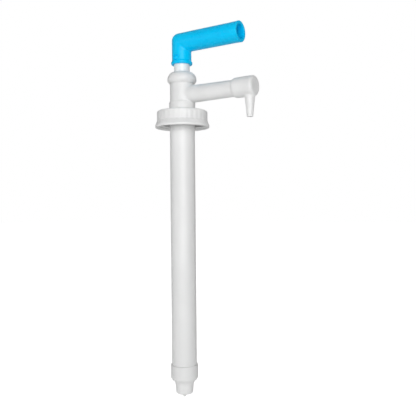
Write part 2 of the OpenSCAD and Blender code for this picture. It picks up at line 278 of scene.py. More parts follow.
# %% White moulded plastic
def paint_moulded(where):
    broad = cloud(where, 38)
    grain = cloud(where, 2400, roughness=0.6)
    sink = cloud(where, 150)
    colour = tint(broad, 0.35, 0.65, (0.80, 0.803, 0.80), (0.855, 0.857, 0.853))
    rough = spread(sink, 0.3, 0.7, 0.36, 0.50)
    normal = relief(grain, 0.00004, 0.6, Normal=relief(sink, 0.00025, 0.25))
    return colour, rough, normal


moulded_white = finish_with(
    "moulded_white", paint_moulded, Subsurface_Weight=0.22, Subsurface_Scale=0.0022, IOR=1.5)


# %% [markdown]
# ### Drawn white tube and rod
# The tube and the rod are extruded, so all their marks run lengthwise: fine lines left by the die.
# Noise that is squeezed along Z gives those. The rod is the smoother and brighter of the two, and
# its sliding in the gland has polished it in long faint streaks.

# %% Drawn tube and sliding rod
def paint_tube(where):
    lines = cloud(where, 1100, detail=3, stretch=(1, 1, 0.006))
    broad = cloud(where, 30, stretch=(1, 1, 0.4))
    colour = tint(broad, 0.35, 0.65, (0.81, 0.813, 0.81), (0.855, 0.857, 0.853))
    rough = spread(lines, 0.3, 0.7, 0.34, 0.46)
    return colour, rough, relief(lines, 0.00005, 0.35)


def paint_rod(where):
    streaks = cloud(where, 700, detail=4, stretch=(1, 1, 0.003))
    broad = cloud(where, 26, stretch=(1, 1, 0.3))
    colour = tint(broad, 0.35, 0.65, (0.87, 0.90, 0.905), (0.89, 0.915, 0.92))
    rough = spread(streaks, 0.35, 0.65, 0.20, 0.34)
    return colour, rough, relief(streaks, 0.00003, 0.3)


drawn_tube = finish_with(
    "drawn_tube", paint_tube, Subsurface_Weight=0.2, Subsurface_Scale=0.002, IOR=1.5)
sliding_rod = finish_with(
    "sliding_rod", paint_rod, Subsurface_Weight=0.15, Subsurface_Scale=0.0015, IOR=1.5)


# %% [markdown]
# ### Blue handle
# The handle is moulded in a strong cyan. Its gloss is higher than the white parts', and years of
# hands are not on it yet, so only the faint flow of the plastic shows: slightly deeper blue where
# the melt met, and a soft waviness in the gloss.

# %% Blue moulded handle
def paint_handle(where):
    flow = cloud(where, 45, detail=3, stretch=(0.5, 1, 1))
    grain = cloud(where, 2600)
    wave = cloud(where, 120)
    colour = tint(flow, 0.35, 0.65, (0.0, 0.565, 0.975), (0.0, 0.615, 1.0))
    rough = spread(wave, 0.3, 0.7, 0.24, 0.33)
    normal = relief(grain, 0.00003, 0.5, Normal=relief(wave, 0.0003, 0.25))
    return colour, rough, normal


handle_blue = finish_with(
    "handle_blue", paint_handle, Subsurface_Weight=0.08, Subsurface_Scale=0.0015,
    Specular_IOR_Level=0.16)


# %% [markdown]
# ### Small parts
# The two balls are polished steel with fine turning marks. Gasket, seal and cup are
# matt rubber. The parts inside are turned or moulded from the same milky plastic as the rod.

# %% Steel, rubber and inner plastic
def paint_steel(where):
    rings = cloud(where, 1800, stretch=(0.15, 1, 1))
    colour = tint(rings, 0.3, 0.7, (0.56, 0.57, 0.59), (0.68, 0.69, 0.70))
    return colour, spread(rings, 0.3, 0.7, 0.18, 0.34), relief(rings, 0.00002, 0.4)


def paint_rubber(where):
    dust = cloud(where, 260, detail=4)
    grain = cloud(where, 3000)
    colour = tint(dust, 0.4, 0.7, (0.030, 0.031, 0.033), (0.055, 0.056, 0.058))
    return colour, spread(dust, 0.3, 0.7, 0.62, 0.82), relief(grain, 0.00006, 0.6)


def paint_inner(where):
    broad = cloud(where, 60)
    rings = cloud(where, 900, stretch=(0.1, 0.1, 1))
    colour = tint(broad, 0.35, 0.65, (0.84, 0.855, 0.845), (0.88, 0.89, 0.88))
    return colour, spread(rings, 0.3, 0.7, 0.34, 0.48), relief(rings, 0.00004, 0.4)


polished_steel = finish_with("polished_steel", paint_steel, Metallic=1.0)
black_rubber = finish_with("black_rubber", paint_rubber, IOR=1.5)
inner_plastic = finish_with(
    "inner_plastic", paint_inner, Subsurface_Weight=0.15, Subsurface_Scale=0.002, IOR=1.5)


# %% [markdown]
# ## Turned pieces
# Most parts of a pump are round, so the first tool turns an outline about the Z axis. An outline
# is a list of corners, each a radius, a height and, where the real edge is rounded, the radius of
# that rounding. Real moulded edges are never sharp, and it is those small roundings that catch
# the light. Two extra points beside each rounding keep the flat faces flat when shaded smoothly.

# %% Round the corners of an outline
def soften(outline, steps=4, longest=None):
    """Points of an outline with its corners rounded; no span is longer than longest."""
    points = []
    for i, (r, z, *fillet) in enumerate(outline):
        here = np.array([r, z], float)
        if not fillet:
            points.append(here)
            continue
        back = np.array(outline[i - 1][:2], float) - here
        ahead = np.array(outline[(i + 1) % len(outline)][:2], float) - here
        room = min(np.linalg.norm(back), np.linalg.norm(ahead)) * 0.49
        back, ahead = back / np.linalg.norm(back), ahead / np.linalg.norm(ahead)
        half = math.acos(np.clip(back @ ahead, -1, 1)) / 2
        reach = min(fillet[0] / math.tan(half), room)
        radius = reach * math.tan(half)
        middle = here + (back + ahead) / np.linalg.norm(back + ahead) * radius / math.sin(half)
        start, end = here + back * reach - middle, here + ahead * reach - middle
        sweep = math.pi - 2 * half
        count = max(2, math.ceil(steps * sweep / (math.pi / 2)))
        hold = min(0.4 * radius, room - reach)
        if hold > 0.01:
            points.append(here + back * (reach + hold))
        for k in range(count + 1):
            a = sweep * k / count
            spoke = math.sin(sweep - a) * start + math.sin(a) * end
            points.append(middle + spoke / math.sin(sweep))
        if hold > 0.01:
            points.append(here + ahead * (reach + hold))
    if longest:
        dense = []
        for a, b in zip(points, points[1:] + points[:1]):
            parts = max(1, math.ceil(np.linalg.norm(b - a) / longest))
            dense += [a + (b - a) * k / parts for k in range(parts)]
        points = dense
    return np.array(points)


def band(inner, outer, low, high, rounding):
    """Corners of a plain ring between two radii and two heights."""
    return [(inner, low, rounding), (outer, low, rounding),
            (outer, high, rounding), (inner, high, rounding)]


# %% Join rings of points into a skin
def skin(rings, closed):
    """Vertices and faces of a skin over rings of equal length; a ring of one point is a pole."""
    verts = np.concatenate(rings)
    first = np.cumsum([0] + [len(ring) for ring in rings[:-1]])
    faces = []
    last = len(rings) - 1
    for a in range(len(rings) if closed else last):
        b = 0 if a == last else a + 1
        count = max(len(rings[a]), len(rings[b]))
        j = np.arange(count)
        k = (j + 1) % count
        if len(rings[a]) == 1:
            quads = [np.full(count, first[a]), first[b] + k, first[b] + j]
        elif len(rings[b]) == 1:
            quads = [first[a] + j, first[a] + k, np.full(count, first[b])]
        else:
            quads = [first[a] + j, first[a] + k, first[b] + k, first[b] + j]
        faces += np.stack(quads, 1).tolist()
    return verts, faces


def turned(outline, segments=128):
    """Turn an outline about Z. It starts and ends on the axis, or it is a loop clear of it."""
    points = np.asarray(outline, float)
    r, z = points.T
    if np.sum(r * np.roll(z, -1) - np.roll(r, -1) * z) < 0:
        points = points[::-1]
    on_axis = points[:, 0] < 1e-6
    if on_axis.any():
        start = int(np.flatnonzero(on_axis & np.roll(~on_axis, -1))[0])
        points = np.roll(points, -start, axis=0)
        points = points[:int(np.flatnonzero(points[1:, 0] < 1e-6)[0]) + 2]
    angle = np.arange(segments) * 2 * math.pi / segments
    rings = []
    for r, z in points:
        ring = np.stack([r * np.cos(angle), r * np.sin(angle), np.full(segments, z)], 1)
        rings.append(ring[:1] if r < 1e-6 else ring)
    return skin(rings, closed=not on_axis.any())


# %% [markdown]
# ## From a list of points to a piece
# One function makes the mesh, and another shades it smoothly except across real edges, gives it its
# finish, hangs it on the body that it rides on, and hides the CAD node that it takes the place of.

# %% Make a mesh object, and finish a piece
def mesh_object(name, verts, faces):
    """An object at the origin, from vertices in millimetres."""
    mesh = bpy.data.meshes.new(name)
    mesh.from_pydata((np.asarray(verts) * MM).tolist(), [], faces)
    mesh.update()
    made = bpy.data.objects.new(name, mesh)
    bpy.context.scene.collection.objects.link(made)
    return made


def bake_modifiers(piece):
    """Turn a piece with modifiers into a plain mesh."""
    shown = piece.evaluated_get(bpy.context.evaluated_depsgraph_get())
    mesh = bpy.data.meshes.new_from_object(shown)
    piece.modifiers.clear()
    piece.data = mesh


def cut_away(piece, cutters):
    """Subtract closed meshes from a piece."""
    for cutter in cutters:
        cutting = piece.modifiers.new("cut", "BOOLEAN")
        cutting.operation, cutting.solver, cutting.object = "DIFFERENCE", "EXACT", cutter
        bake_modifiers(piece)
        bpy.data.objects.remove(cutter)


CREASE = math.radians(38)


def finished(piece, body, finish, nodes):
    """Shade a piece, and tell the frame what it is."""
    mesh = piece.data
    mesh.polygons.foreach_set("use_smooth", [True] * len(mesh.polygons))
    mesh.set_sharp_from_angle(angle=CREASE)
    mesh.materials.clear()
    mesh.materials.append(finish)
    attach(piece, body)
    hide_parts(*nodes)
    triangles = sum(len(face.vertices) - 2 for face in mesh.polygons)
    print(piece.name, "rides on", body, "with", triangles, "triangles")


# %% [markdown]
# ## Long tube, neck flange and gasket
# The tube is a plain length of pipe. The flange is a collar welded round its top, and it clamps
# the gasket on the can's neck. Both are seen only from below, inside the nut.

# %% Turn the tube, flange and gasket
TUBE_R, TUBE_BORE_R, PUSH_FIT = 16.0, 14.0, 0.05
tube = mesh_object("drawn_tube", *turned(soften(
    band(TUBE_BORE_R, TUBE_R, tube_low[2], tube_high[2], 0.3), longest=12), 160))
finished(tube, "pump", drawn_tube, ["cylinder_tube"])

HUB_R = 18.6
flange_r = flange_high[0]
flange = mesh_object("clamp_flange", *turned(soften([
    (TUBE_R + PUSH_FIT, flange_low[2], 0.3), (HUB_R, flange_low[2], 0.9),
    (HUB_R, gasket_high[2], 0.3), (flange_r, gasket_high[2], 0.4), (flange_r, flange_high[2], 0.5),
    (TUBE_R + PUSH_FIT, flange_high[2], 0.3)]), 128))
finished(flange, "pump", moulded_white, ["neck_flange"])

GASKET_BORE_R = HUB_R + 0.3
gasket = mesh_object("neck_gasket_ring", *turned(soften([
    (GASKET_BORE_R, gasket_low[2], 0.4), (flange_r, gasket_low[2], 0.5),
    (flange_r, gasket_high[2], 0.5), (GASKET_BORE_R, gasket_high[2], 0.4)]), 128))
finished(gasket, "pump", black_rubber, ["neck_gasket"])


# %% [markdown]
# ## Neck nut
# The nut is a turned shape with two things that repeat: thirty shallow flutes for the fingers, and
# a thread that winds down the inner wall. Both can be pressed into a smooth blank by one rule on
# the position of each point, which is just what Geometry Nodes are good at. The rule reads a
# point's turn round the axis and its height, and moves it in or out.

# %% Arithmetic as nodes
def calc(operation, *values):
    """A Math node on sockets and numbers, in the tree that its first socket belongs to."""
    tree = next(v.id_data for v in values if isinstance(v, bpy.types.NodeSocket))
    return add_node(tree, "ShaderNodeMath", *values, options={"operation": operation})[0]


def plus(a, b):
    return calc("ADD", a, b)


def minus(a, b):
    return calc("SUBTRACT", a, b)


def times(a, b):
    return calc("MULTIPLY", a, b)


def over(a, b):
    return calc("DIVIDE", a, b)


def ramp(value, low, high):
    """0 below low, 1 above high, and smooth between them; low may be the greater one."""
    return add_node(value.id_data, "ShaderNodeMapRange", value, low, high,
                    options={"interpolation_type": "SMOOTHSTEP"})[0]


def vector(tree, x=0.0, y=0.0, z=0.0):
    """Three sockets or numbers as one vector."""
    return add_node(tree, "ShaderNodeCombineXYZ", x, y, z)[0]


# %% Start, end and run a tree of Geometry Nodes
def new_tree(name, count, *sizes):
    """A geometry tree that is given a shape, a count, some sizes and a finish."""
    tree = bpy.data.node_groups.new(name, "GeometryNodeTree")
    inputs = {"Geometry": "Geometry", count: "Int", **dict.fromkeys(sizes, "Float"),
              "Finish": "Material"}
    for label, kind in inputs.items():
        tree.interface.new_socket(label, in_out="INPUT", socket_type="NodeSocket" + kind)
    tree.interface.new_socket("Geometry", in_out="OUTPUT", socket_type="NodeSocketGeometry")
    given = tree.nodes.new("NodeGroupInput").outputs
    result = tree.nodes.new("NodeGroupOutput").inputs[0]
    return tree, given, result


def end_tree(tree, given, result, shape):
    """Realize every instance, give the finish, and hand the shape out."""
    real = add_node(tree, "GeometryNodeRealizeInstances", shape)[0]
    coated = add_node(tree, "GeometryNodeSetMaterial", Geometry=real, Material=given["Finish"])[0]
    tree.links.new(coated, result)
    print("tree", tree.name, "has", len(tree.nodes), "nodes")


def run_tree(piece, tree, **values):
    """Run a geometry tree on a piece, with its inputs set by their identifiers."""
    modifier = piece.modifiers.new(tree.name, "NODES")
    modifier.node_group = tree
    for item in tree.interface.items_tree:
        key = item.name.replace(" ", "_")
        if item.in_out == "INPUT" and key in values:
            modifier[item.identifier] = values[key]
    bake_modifiers(piece)


# %% Build the tree that presses flutes and a thread
press, given, result = new_tree(
    "press_flutes_and_thread", "Flutes", "Flute Radius", "Flute Depth", "Flute Low", "Flute High",
    "Outer Radius", "Wall Radius", "Thread Height", "Thread Pitch", "Thread Low", "Thread High")
place = add_node(press, "GeometryNodeInputPosition")[0]
x, y, z = add_node(press, "ShaderNodeSeparateXYZ", place)
radius = calc("SQRT", plus(times(x, x), times(y, y)))
turns = over(calc("ARCTAN2", y, x), 2 * math.pi)


def kept_between(amount, low, high, run_out):
    """Let an amount run out to nothing at two heights."""
    amount = times(amount, ramp(z, low, plus(low, run_out)))
    return times(amount, ramp(z, high, minus(high, run_out)))


# a flute is a round hollow: its depth falls off as a circle does beside the flute's middle
count, flute_r = given["Flutes"], given["Flute Radius"]
beat = minus(calc("FRACT", times(turns, count)), 0.5)
aside = times(calc("ABSOLUTE", beat), over(2 * math.pi, count))
aside = calc("MINIMUM", times(aside, given["Outer Radius"]), flute_r)
fall = minus(flute_r, calc("SQRT", minus(times(flute_r, flute_r), times(aside, aside))))
hollow = calc("MAXIMUM", minus(given["Flute Depth"], fall), 0.0)
FLUTE_RUN_OUT, SKIN = 1.3 * MM, 0.8 * MM
hollow = kept_between(hollow, given["Flute Low"], given["Flute High"], FLUTE_RUN_OUT)
hollow = times(hollow, calc("GREATER_THAN", radius, minus(given["Outer Radius"], SKIN)))

# the thread rises where a point's height matches its turn, once in each pitch
wound = minus(over(minus(z, given["Thread Low"]), given["Thread Pitch"]), turns)
off = calc("ABSOLUTE", minus(calc("FRACT", plus(wound, 0.5)), 0.5))
THREAD_FOOT, THREAD_CREST, THREAD_RUN_OUT = 0.27, 0.10, 1.6 * MM
ridge = times(ramp(off, THREAD_FOOT, THREAD_CREST), given["Thread Height"])
ridge = kept_between(ridge, given["Thread Low"], given["Thread High"], THREAD_RUN_OUT)
ridge = times(ridge, calc("COMPARE", radius, given["Wall Radius"], 0.05 * MM))

# the axis is kept out of the division
inwards = over(plus(hollow, ridge), calc("MAXIMUM", radius, 1e-6))
outwards = times(inwards, -1.0)
shift = vector(press, times(x, outwards), times(y, outwards))
end_tree(press, given, result, add_node(
    press, "GeometryNodeSetPosition", Geometry=given["Geometry"], Offset=shift)[0])

# %% Turn and press the nut
NUT_R, NUT_RIM_R, NUT_HOLE_R, NUT_WALL_R = 32.5, nut_high[0], 17.2, 30.6
FLUTES, FLUTE_R, FLUTE_DEPTH, NECK_THREAD, NECK_PITCH = 30, 9.0, 0.3, 1.6, 6.0
skirt, crown = nut_low[2], nut_high[2]
roof = flange_high[2] + 0.3
nut = mesh_object("neck_nut_ribbed", *turned(soften([
    (NUT_HOLE_R, crown, 0.4), (NUT_R, crown, 2.4), (NUT_R, skirt + 8.6, 3.0),
    (NUT_RIM_R - 0.6, skirt + 4.2, 1.5), (NUT_RIM_R, skirt + 3.0, 0.8), (NUT_RIM_R, skirt, 0.9),
    (NUT_WALL_R + 1.6, skirt, 0.5), (NUT_WALL_R, skirt + 2.0, 0.6), (NUT_WALL_R, roof, 0.4),
    (NUT_HOLE_R, roof, 0.4)], steps=5, longest=0.55), 360))
run_tree(nut, press, Flutes=FLUTES, Flute_Radius=FLUTE_R * MM, Flute_Depth=FLUTE_DEPTH * MM,
         Flute_Low=(skirt + 7.2) * MM, Flute_High=(crown - 1.6) * MM, Outer_Radius=NUT_R * MM,
         Wall_Radius=NUT_WALL_R * MM, Thread_Height=NECK_THREAD * MM, Thread_Pitch=NECK_PITCH * MM,
         Thread_Low=(skirt + 2.2) * MM, Thread_High=(skirt + 13.0) * MM, Finish=moulded_white)
finished(nut, "nut", moulded_white, ["neck_nut"])


# %% [markdown]
# ## Gland cap
# The cap screws on the barrel's top and presses the bush down. Its outline is a short flare and a
# dome with a hole for the rod. The same tree winds the thread inside it.

# %% Turn the gland cap
CAP_R, CAP_WALL_R, CAP_HOLE_R = cap_high[0], 16.7, 10.4
CAP_MOUTH_R, CAP_NARROW_R = CAP_WALL_R - 0.8, CAP_WALL_R - 1.1
DOME_R, DOME_H, GLAND_PITCH = 8.2, 9.2, 2.4
foot_z, top_z = cap_low[2], cap_high[2]
roof_z = top_z - 3.6
dome = [(CAP_R - DOME_R + DOME_R * math.cos(a), top_z - DOME_H + DOME_H * math.sin(a))
        for a in np.radians(np.linspace(0, 84, 15))]
cap = mesh_object("gland_cap_dome", *turned(soften([
    (CAP_MOUTH_R, foot_z, 0.3), (CAP_R - 2.4, foot_z, 0.5), (CAP_R, foot_z + 3.4, 1.2)] + dome + [
    (CAP_HOLE_R, top_z, 0.45), (CAP_HOLE_R, roof_z, 0.4), (CAP_NARROW_R, roof_z, 0.4),
    (CAP_NARROW_R, top_z - 5.6), (CAP_WALL_R, top_z - 6.2, 0.3), (CAP_WALL_R, foot_z + 2.4, 0.3),
    (CAP_MOUTH_R, foot_z + 1.8, 0.2)], steps=5, longest=0.6), 192))
# the cap has no flutes, so their inputs stay at nought
run_tree(cap, press, Wall_Radius=CAP_WALL_R * MM, Thread_Height=0.7 * MM,
         Thread_Pitch=GLAND_PITCH * MM, Thread_Low=(foot_z + 1.4) * MM,
         Thread_High=(foot_z + 8.2) * MM, Finish=moulded_white)
finished(cap, "pump", moulded_white, ["gland_cap"])


# %% [markdown]
# ## Moulded pieces from a distance field
# The tee and the elbow are not plain turned shapes: round bodies run into each other with a soft
# fillet, as a mould leaves them. A boolean would leave a hard seam there. Instead each one is
# described by a field, a function that says how far any point is from the surface, negative
# inside. Fields join and cut with a rounding of any radius. The field is read on a grid, one point
# goes into each cell that the surface crosses, and the points are then pulled exactly on to the
# surface. The grid can be fine where the shape is busy and coarse along a straight run.

# %% Join and cut fields
def join(a, b, fillet):
    """Union of two fields, with a fillet in the corner between them."""
    inner = np.hypot(np.maximum(fillet - a, 0), np.maximum(fillet - b, 0))
    return np.maximum(fillet, np.minimum(a, b)) - inner


def cut(a, b, rounding):
    """Field a with b taken away, and the edge rounded."""
    return -join(-a, b, rounding)


def both(a, b, rounding):
    """What two fields share, with the edge rounded."""
    return -join(-a, -b, rounding)


def round_bar(across, along, radius, low, high, rounding):
    """A round bar: distance from its axis, position along it, and its two ends."""
    return both(across - radius, np.abs(along - (low + high) / 2) - (high - low) / 2, rounding)


# %% Mesh a field
def axis(*runs):
    """Grid lines from runs of (start, end, spacing)."""
    lines = [np.linspace(a, b, max(1, round((b - a) / step)) + 1)[:-1] for a, b, step in runs]
    return np.append(np.concatenate(lines), runs[-1][1])


def settle(field, points, rounds):
    """Pull points on to the surface along the field's slope."""
    probe, stride, least = 0.01, 0.4, 0.25
    for _ in range(rounds):
        slope = np.stack([(field(points + step) - field(points - step)) / (2 * probe)
                          for step in np.eye(3) * probe], 1)
        away = field(points) / np.maximum((slope ** 2).sum(1), least)
        points = points - np.clip(away, -stride, stride)[:, None] * slope
    return points


def moulded(field, xs, ys, zs):
    """Vertices and quads of the surface where a field is zero."""
    # read the field on the grid, one sheet of points at a time
    lines = [xs, ys, zs]
    flat = np.stack(np.meshgrid(ys, zs, indexing="ij"), -1).reshape(-1, 2)
    sheets = (np.column_stack([np.full(len(flat), x), flat]) for x in xs)
    value = np.stack([field(sheet).reshape(len(ys), len(zs)) for sheet in sheets])
    inside = value < 0
    size = np.array(value.shape)
    # a cell is crossed where only some of its eight corners are inside
    corner = np.array([[i, j, k] for i in (0, 1) for j in (0, 1) for k in (0, 1)])
    full = sum(inside[i:size[0] - 1 + i, j:size[1] - 1 + j, k:size[2] - 1 + k].astype(np.int8)
               for i, j, k in corner)
    cells = np.argwhere((full > 0) & (full < 8))
    number = np.full(full.shape, -1)
    number[tuple(cells.T)] = np.arange(len(cells))
    at = np.stack([value[tuple((cells + c).T)] for c in corner], 1)
    # its point is the middle of the places where the surface cuts the cell's edges
    total, hits = np.zeros((len(cells), 3)), np.zeros(len(cells))
    for a in range(8):
        for b in range(a + 1, 8):
            if bin(a ^ b).count("1") == 1:
                crossed = (at[:, a] < 0) != (at[:, b] < 0)
                t = np.where(crossed, at[:, a] / np.where(crossed, at[:, a] - at[:, b], 1), 0)
                total += crossed[:, None] * (corner[a] + t[:, None] * (corner[b] - corner[a]))
                hits += crossed
    spot = total / hits[:, None]
    verts = np.stack([
        lines[k][cells[:, k]] * (1 - spot[:, k]) + lines[k][cells[:, k] + 1] * spot[:, k]
        for k in range(3)], 1)
    # each grid edge that the surface cuts joins the points of its four cells
    quads = []
    for k in range(3):
        u, v = np.eye(3, dtype=int)[[(k + 1) % 3, (k + 2) % 3]]
        near = np.take(inside, np.arange(size[k] - 1), k)
        far = np.take(inside, np.arange(1, size[k]), k)
        p = np.argwhere(near != far)
        leaving = near[tuple(p.T)]
        around = np.stack([number[tuple(q.T)] for q in (p - u - v, p - v, p, p - u)], 1)
        quads.append(np.where(leaving[:, None], around, around[:, ::-1]))
    quads = np.concatenate(quads)
    # even out the points along the surface, and pull them back on to it
    ends = np.concatenate([quads, np.roll(quads, -1, 1)]).reshape(-1)
    others = np.concatenate([np.roll(quads, -1, 1), quads]).reshape(-1)
    verts = settle(field, verts, 3)
    for _ in range(3):
        total = np.stack([np.bincount(ends, verts[others, k], len(verts)) for k in range(3)], 1)
        mean = total / np.bincount(ends, minlength=len(verts))[:, None]
        verts = settle(field, verts + 0.5 * (mean - verts), 2)
    return verts, quads.tolist()


# %% [markdown]
# ## Tee
# The tee is one moulding: a spigot that plugs the tube, the root that the nut turns on, the barrel
# with the gland's thread, and the long side arm, which tapers so that the core can be drawn out.
# Water rises in the barrel, round the rod, and leaves along the arm.

# %% Describe and mesh the tee
ARM_Z, ARM_END_X, ARM_ROOT_R, ARM_TIP_R, ARM_TAPER_END = 28.4, tee_high[0], 11.0, 10.2, 77.2
ROOT_R, ROOT_TOP, BARREL_R = 16.8, 18.7, 15.4
SPIGOT_R, WATER_R, GLAND_R, GLAND_FLOOR, ARM_BORE_R = 13.95, 12.0, 12.9, 43.0, 8.2
THREAD_RISE, THREAD_LOW, THREAD_START, THREAD_HIGH, THREAD_FADE = 0.8, 44.7, 45.6, 51.0, 0.8
RIDGE_HALF, RIDGE_FLANK = 0.23, 0.14  # in pitches
seat = flange_high[2]


def barrel_thread(x, y, z):
    """How far the gland's thread stands out of the barrel."""
    wound = (z - THREAD_START) / GLAND_PITCH - np.arctan2(y, x) / (2 * math.pi)
    off = np.abs((wound + 0.5) % 1 - 0.5)
    fade = np.clip((z - THREAD_LOW) / THREAD_FADE, 0, 1)
    fade = fade * np.clip((THREAD_HIGH - z) / THREAD_FADE, 0, 1)
    return THREAD_RISE * np.clip((RIDGE_HALF - off) / RIDGE_FLANK, 0, 1) * fade


def tee_field(p):
    """Distance of points from the tee's surface, negative inside it."""
    x, y, z = p.T
    out = np.hypot(x, y)
    barrel = out - barrel_thread(x, y, z)
    whole = round_bar(out, z, SPIGOT_R, tee_low[2], seat + 2, 0.6)
    whole = join(whole, round_bar(out, z, ROOT_R, seat, ROOT_TOP + 0.5, 0.7), 0.3)
    whole = join(whole, round_bar(barrel, z, BARREL_R, seat + 2, tee_high[2], 0.7), 0.7)
    from_arm = np.hypot(y, z - ARM_Z)
    taper = np.interp(x, [BARREL_R, ARM_TAPER_END], [ARM_ROOT_R, ARM_TIP_R])
    arm = both(both(from_arm - taper, x - ARM_END_X, 0.5), -x, 0.5)
    whole = join(whole, arm, 1.7)
    hollow = round_bar(out, z, WATER_R, tee_low[2] - 9, GLAND_FLOOR + 5, 0.3)
    hollow = join(hollow, round_bar(from_arm, x, ARM_BORE_R, 0, ARM_END_X + 9, 0.3), 0.5)
    hollow = np.minimum(hollow, round_bar(out, z, GLAND_R, GLAND_FLOOR, tee_high[2] + 9, 0.3))
    return cut(whole, hollow, 0.4)


tee = mesh_object("body_tee", *moulded(
    tee_field,
    axis((-17.5, 29, 0.5), (29, 88, 1.8), (88, 91.6, 0.45)),
    axis((-17.5, 17.5, 0.5)),
    axis((-26.8, -24.4, 0.4), (-24.4, 3.2, 1.8), (3.2, 43.2, 0.5), (43.2, 52.9, 0.36))))
finished(tee, "pump", moulded_white, ["pump_body"])


# %% [markdown]
# ## Spout elbow
# The elbow is pushed on the arm's end. It is a short round box, closed and rounded at the far end,
# with a chamfered mouth, and its tapered nozzle grows down out of it.

# %% Describe and mesh the elbow
MOUTH_X, ELBOW_END, ELBOW_R = elbow_low[0], elbow_high[0], elbow_high[1]
NOZZLE_X, NOZZLE_TIP, NOZZLE_TIP_R, NOZZLE_ROOT_R = 98.6, elbow_low[2], 3.7, 6.33
OUTLET_R, OUTLET_ROOT_R, ARM_SOCKET_R, ARM_SOCKET_END = 2.75, 4.4, 10.25, MOUTH_X + 14
CHAMFER, CHAMFER_LEN = 1.6, 2.6


def elbow_field(p):
    """Distance of points from the elbow's surface, negative inside it."""
    x, y, z = p.T
    across = np.hypot(y, z - ARM_Z)
    # a cone's distance is shortened by the cosine of its slope
    lead = (across - (ELBOW_R - CHAMFER) - (x - MOUTH_X) * CHAMFER / CHAMFER_LEN) * 0.85
    whole = both(round_bar(across, x, ELBOW_R, MOUTH_X - 5, ELBOW_END, 3.4), MOUTH_X - x, 0.3)
    whole = both(whole, lead, 1.0)
    beside = np.hypot(x - NOZZLE_X, y)
    # above the skin of the elbow the cone is only a root inside it, so there it narrows again
    cone = beside - np.interp(z, [NOZZLE_TIP, 17, 24], [NOZZLE_TIP_R, NOZZLE_ROOT_R, 3.0])
    whole = join(whole, both(both(cone, NOZZLE_TIP - z, 0.45), z - ARM_Z, 0.5), 1.5)
    hollow = round_bar(across, x, ARM_BORE_R, MOUTH_X - 5, ELBOW_END - 2.5, 1.2)
    socket = round_bar(across, x, ARM_SOCKET_R, MOUTH_X - 5, ARM_SOCKET_END, 0.2)
    hollow = np.minimum(hollow, socket)
    bore = np.interp(z, [NOZZLE_TIP + 12, 22.2], [OUTLET_R, OUTLET_ROOT_R])
    hollow = join(hollow, both(beside - bore, z - ARM_Z, 0.3), 0.6)
    return cut(whole, hollow, 0.35)


elbow = mesh_object("spout_elbow_nozzle", *moulded(
    elbow_field,
    axis((76.8, 80.4, 0.3), (80.4, 90.0, 0.5), (90.0, 106.7, 0.36)),
    axis((-12.6, 12.6, 0.36)),
    axis((-8.4, -7.0, 0.25), (-7.0, 12, 0.6), (12, 41.1, 0.38))))
finished(elbow, "pump", moulded_white, ["spout_elbow"])


# %% [markdown]
# ## Foot valve body
# The foot is pushed on the tube's end. From its collar it narrows in a hollow curve to the neck
# where the liquid comes in. It is a plain turned piece, with the valve's seat inside it.

# %% Turn the foot
COLLAR_R, FOOT_BORE_R, INLET_R = foot_high[0], TUBE_R + PUSH_FIT, 8.6
NECK_R, CHAMBER_R, SEAT_R, BELL_R, BELL_H = 10.8, 9.2, 4.5, 6.4, 9.8
shoulder = tube_low[2] - 3.0
inlet_roof, inlet_floor = shoulder - 7.5, foot_low[2]
bell = [(COLLAR_R + 0.4 + BELL_R * math.cos(a), shoulder - 12.5 + BELL_H * math.sin(a))
        for a in np.radians(np.linspace(108, 180, 10))]
foot_outline = soften([
    (FOOT_BORE_R, foot_high[2], 0.3), (COLLAR_R, foot_high[2], 1.0),
    (COLLAR_R, shoulder - 0.5, 0.9)] + bell + [
    (NECK_R, inlet_floor + 1, 0.8), (NECK_R - 0.7, inlet_floor, 0.5),
    (INLET_R, inlet_floor, 0.3), (INLET_R, inlet_roof, 0.8), (SEAT_R, inlet_roof, 0.4),
    (SEAT_R, shoulder - 5.5), (CHAMBER_R, shoulder - 0.8), (CHAMBER_R, shoulder, 0.3),
    (FOOT_BORE_R, shoulder, 0.3)], longest=3)
foot = mesh_object("foot_valve_shell", *turned(foot_outline, 160))
finished(foot, "pump", moulded_white, ["foot_valve_body"])


# %% [markdown]
# ## Strainer
# The strainer is a plug with a pointed tip, eight holes that keep grit out, and a star of thin fins
# above it. The fins repeat, so Geometry Nodes place copies of one plate at even turns. A boolean
# then joins them to the turned plug, because an export is better off with one closed shell.

# %% Build the tree that places fins
star, given, result = new_tree(
    "star_of_fins", "Plates", "Width", "Thickness", "Low", "High", "Start Turn")
height = minus(given["High"], given["Low"])
size = vector(star, given["Width"], given["Thickness"], height)
plate = add_node(star, "GeometryNodeMeshCube", Size=size)[0]
middle = vector(star, z=times(plus(given["Low"], given["High"]), 0.5))
spots = add_node(star, "GeometryNodePoints", Count=given["Plates"], Position=middle)[0]
index = add_node(star, "GeometryNodeInputIndex")[0]
turn = plus(times(index, over(math.pi, given["Plates"])), given["Start Turn"])
end_tree(star, given, result, add_node(
    star, "GeometryNodeInstanceOnPoints", Points=spots, Instance=plate,
    Rotation=vector(star, z=turn))[0])

